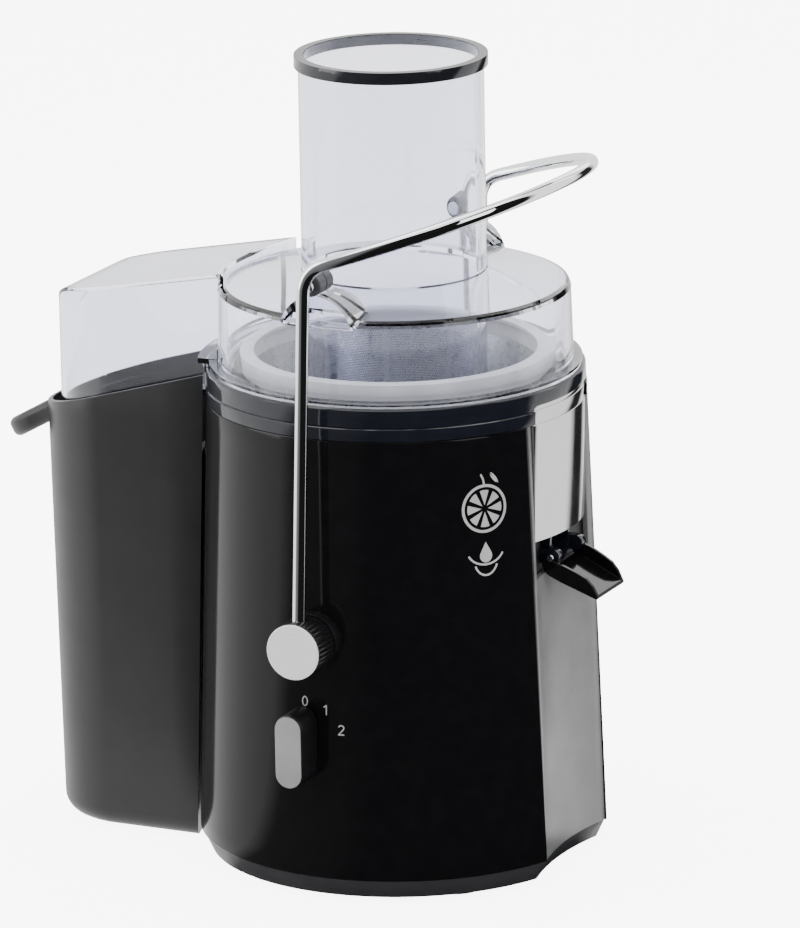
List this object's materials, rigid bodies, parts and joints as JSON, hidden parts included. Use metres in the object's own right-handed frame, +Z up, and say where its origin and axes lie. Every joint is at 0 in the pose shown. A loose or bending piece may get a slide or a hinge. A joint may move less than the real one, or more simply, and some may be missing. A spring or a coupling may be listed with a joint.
{
  "type": "centrifugal juicer",
  "caption": "Upright centrifugal juicer with a wide feed tube, clear lid, spinning sieve basket, wire locking arm, tilting juice spout and a side pulp container.",
  "frame": {"origin": "point on the table directly under the basket axis", "axes": "+Z up along the basket and feed tube axis, +X towards the juice spout, -X towards the pulp container, -Y front with the speed knob"},
  "size_m": [0.3077, 0.2292, 0.3778],
  "materials": {
    "shell": "satin",
    "black_gloss": "gloss",
    "rear_black": "gloss",
    "grey_side": "satin",
    "skirt_grey": "satin",
    "rubber_black": "matte",
    "screw_steel": "brushed",
    "lamination": "satin",
    "copper": "satin",
    "bracket_alloy": "cast",
    "switch_plastic": "matte",
    "bowl_dark": "gloss",
    "bright_steel": "polished",
    "rod_chrome": "polished",
    "plate_silver": "gloss",
    "cap_silver": "polished",
    "knob_black": "satin",
    "face_grey": "satin",
    "basket_white": "gloss",
    "sieve_steel": "etched",
    "roller_grey": "satin",
    "clear_tint": "clear",
    "collar_dark": "gloss",
    "pulp_dark": "satin",
    "white_nylon": "matte"
  },
  "bodies": {
    "housing": {"housing_shell": "shell", "front_panel": "black_gloss", "rear_cover": "rear_black", "side_panel": "grey_side", "chute_panel": "plate_silver", "base_plate": "skirt_grey", "foot_front_right": "rubber_black", "foot_front_left": "rubber_black", "foot_rear_right": "rubber_black", "foot_rear_left": "rubber_black", "base_screws": "screw_steel", "bowl_seat": "shell", "cord_gland": "rubber_black", "pivot_boss_front": "knob_black", "pivot_boss_rear": "knob_black", "safety_switch": "switch_plastic", "stator_core": "lamination", "field_windings": "copper", "upper_bracket": "bracket_alloy", "lower_bracket": "bracket_alloy", "upper_bearing": "bright_steel", "lower_bearing": "bright_steel", "motor_bushes": "rubber_black", "motor_screws": "screw_steel", "brush_holders": "copper", "rotary_switch": "switch_plastic", "juice_bowl": "bowl_dark", "shaft_seal": "rubber_black", "spout_pins": "bright_steel"},
    "spout": {"juice_spout": "black_gloss"},
    "arm": {"locking_arm": "rod_chrome", "pivot_hub_front": "knob_black", "pivot_hub_rear": "knob_black", "pivot_cap_front": "cap_silver", "pivot_cap_rear": "cap_silver", "pivot_pin_front": "bright_steel", "pivot_pin_rear": "bright_steel", "lock_cam": "white_nylon", "roller_axle_front": "bright_steel", "roller_axle_rear": "bright_steel"},
    "front_roller": {"roller_front": "roller_grey"},
    "rear_roller": {"roller_rear": "roller_grey"},
    "knob": {"speed_knob": "knob_black", "knob_face": "face_grey", "switch_shaft": "bright_steel"},
    "spinner": {"basket_frame": "basket_white", "sieve_mesh": "sieve_steel", "grater_disc": "sieve_steel", "centre_cap": "basket_white", "drive_coupling": "switch_plastic", "motor_shaft": "bright_steel", "rotor_core": "lamination", "rotor_windings": "copper", "commutator": "copper", "cooling_fan": "switch_plastic"},
    "cover": {"lid": "clear_tint", "tube_collar": "collar_dark"},
    "container": {"pulp_container": "pulp_dark"}
  },
  "joints": [
    {"name": "arm_swing", "type": "hinge", "parent": "housing", "child": "arm", "pos_m": [0, 0, 0.1244], "axis": [0, 1, 0], "range_deg": [0, 90]},
    {"name": "front_roller_spin", "type": "hinge", "parent": "arm", "child": "front_roller", "pos_m": [0, -0.0818, 0.289], "axis": [0, 1, 0], "continuous": true},
    {"name": "rear_roller_spin", "type": "hinge", "parent": "arm", "child": "rear_roller", "pos_m": [0, 0.0818, 0.289], "axis": [0, 1, 0], "continuous": true},
    {"name": "lid_lift", "type": "slide", "parent": "housing", "child": "cover", "axis": [0, 0, 1], "range_m": [0, 0.0402]},
    {"name": "knob_turn", "type": "hinge", "parent": "housing", "child": "knob", "pos_m": [-0.005, -0.1, 0.0755], "axis": [0, 1, 0], "range_deg": [0, 68]},
    {"name": "spout_tilt", "type": "hinge", "parent": "housing", "child": "spout", "pos_m": [0.0845, 0, 0.152], "axis": [0, -1, 0], "range_deg": [0, 30]},
    {"name": "basket_spin", "type": "hinge", "parent": "housing", "child": "spinner", "pos_m": [0, 0, 0.17], "axis": [0, 0, 1], "continuous": true},
    {"name": "container_slide", "type": "slide", "parent": "housing", "child": "container", "axis": [-1, 0, 0], "range_m": [0, 0.15]}
  ],
  "couplings": [
    {"joint": "lid_lift", "follows": "arm_swing", "m_per_rad": 0.0255}
  ]
}
